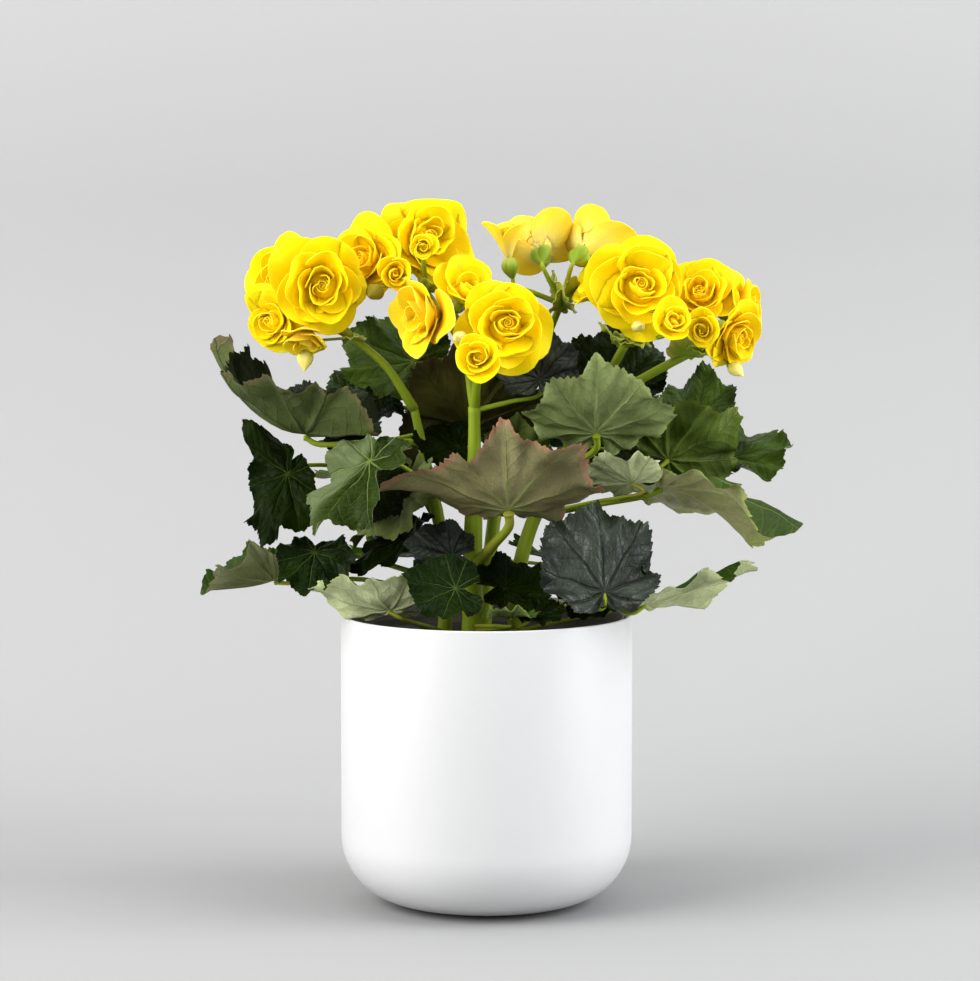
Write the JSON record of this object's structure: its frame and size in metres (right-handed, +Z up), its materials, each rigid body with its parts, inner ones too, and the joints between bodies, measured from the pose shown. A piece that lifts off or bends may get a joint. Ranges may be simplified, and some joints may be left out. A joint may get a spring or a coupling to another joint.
{
  "type": "potted begonia plant",
  "caption": "Bushy potted begonia with toothed, unequal leaves and double yellow blooms on branching stalks, standing in a round white pot.",
  "frame": {"origin": "centre of the flat underside of the pot's foot pad", "axes": "+Z up along the pot, +X to the right and +Y to the back as seen from the front"},
  "size_m": [0.2997, 0.191, 0.3507],
  "materials": {
    "pot": "satin white coating",
    "foot": "matt brown cork",
    "nursery": "matt taupe plastic",
    "soil": "dark crumbly potting soil of bark and peat",
    "stem": "smooth waxy yellow-green",
    "leaf": "waxy dark green, paler underneath",
    "petal": "soft, slightly translucent yellow"
  },
  "bodies": {
    "root": {"cover_pot": "pot", "foot_pad": "foot", "nursery_pot": "nursery", "soil": "soil", "leafy_stem_centre": "stem", "leafy_stem_left": "stem", "leafy_stem_right": "stem", "leafy_stem_back": "stem", "leaf_upper_left": "leaf", "leaf_left_shoulder": "leaf", "leaf_left_crown": "leaf", "leaf_left_hanging": "leaf", "leaf_left_bright": "leaf", "leaf_left_inner": "leaf", "leaf_far_left_curled": "leaf", "leaf_low_left": "leaf", "leaf_over_rim_left": "leaf", "leaf_low_dark_left": "leaf", "leaf_low_grey_left": "leaf", "leaf_centre_behind": "leaf", "leaf_centre_wide": "leaf", "leaf_low_young_centre": "leaf", "leaf_low_dark_centre": "leaf", "leaf_low_slate_right": "leaf", "leaf_right_blue_crown": "leaf", "leaf_right_dark_crown": "leaf", "leaf_right_pale_wide": "leaf", "leaf_right_shoulder": "leaf", "leaf_right_olive": "leaf", "leaf_far_right_dark": "leaf", "leaf_right_long_hanging": "leaf", "leaf_over_rim_right": "leaf", "bloom_left_large": "petal", "bloom_left_outer": "petal", "bloom_left_lower": "petal", "bloom_left_drooping": "petal", "bloom_top_large": "petal", "bloom_top_left": "petal", "bloom_top_small": "petal", "bloom_top_rolled": "petal", "bloom_middle_side": "petal", "bloom_middle_upright": "petal", "bloom_middle_large": "petal", "bloom_middle_rolled": "petal", "bloom_rear_bud": "petal", "bloom_rear_middle": "petal", "bloom_rear_cream": "petal", "bloom_right_large": "petal", "bloom_right_half": "petal", "bloom_right_rolled": "petal", "bloom_far_right_upper": "petal", "bloom_far_right_outer": "petal", "bloom_far_right_lower": "petal", "bloom_far_right_rolled": "petal"}
  },
  "joints": []
}
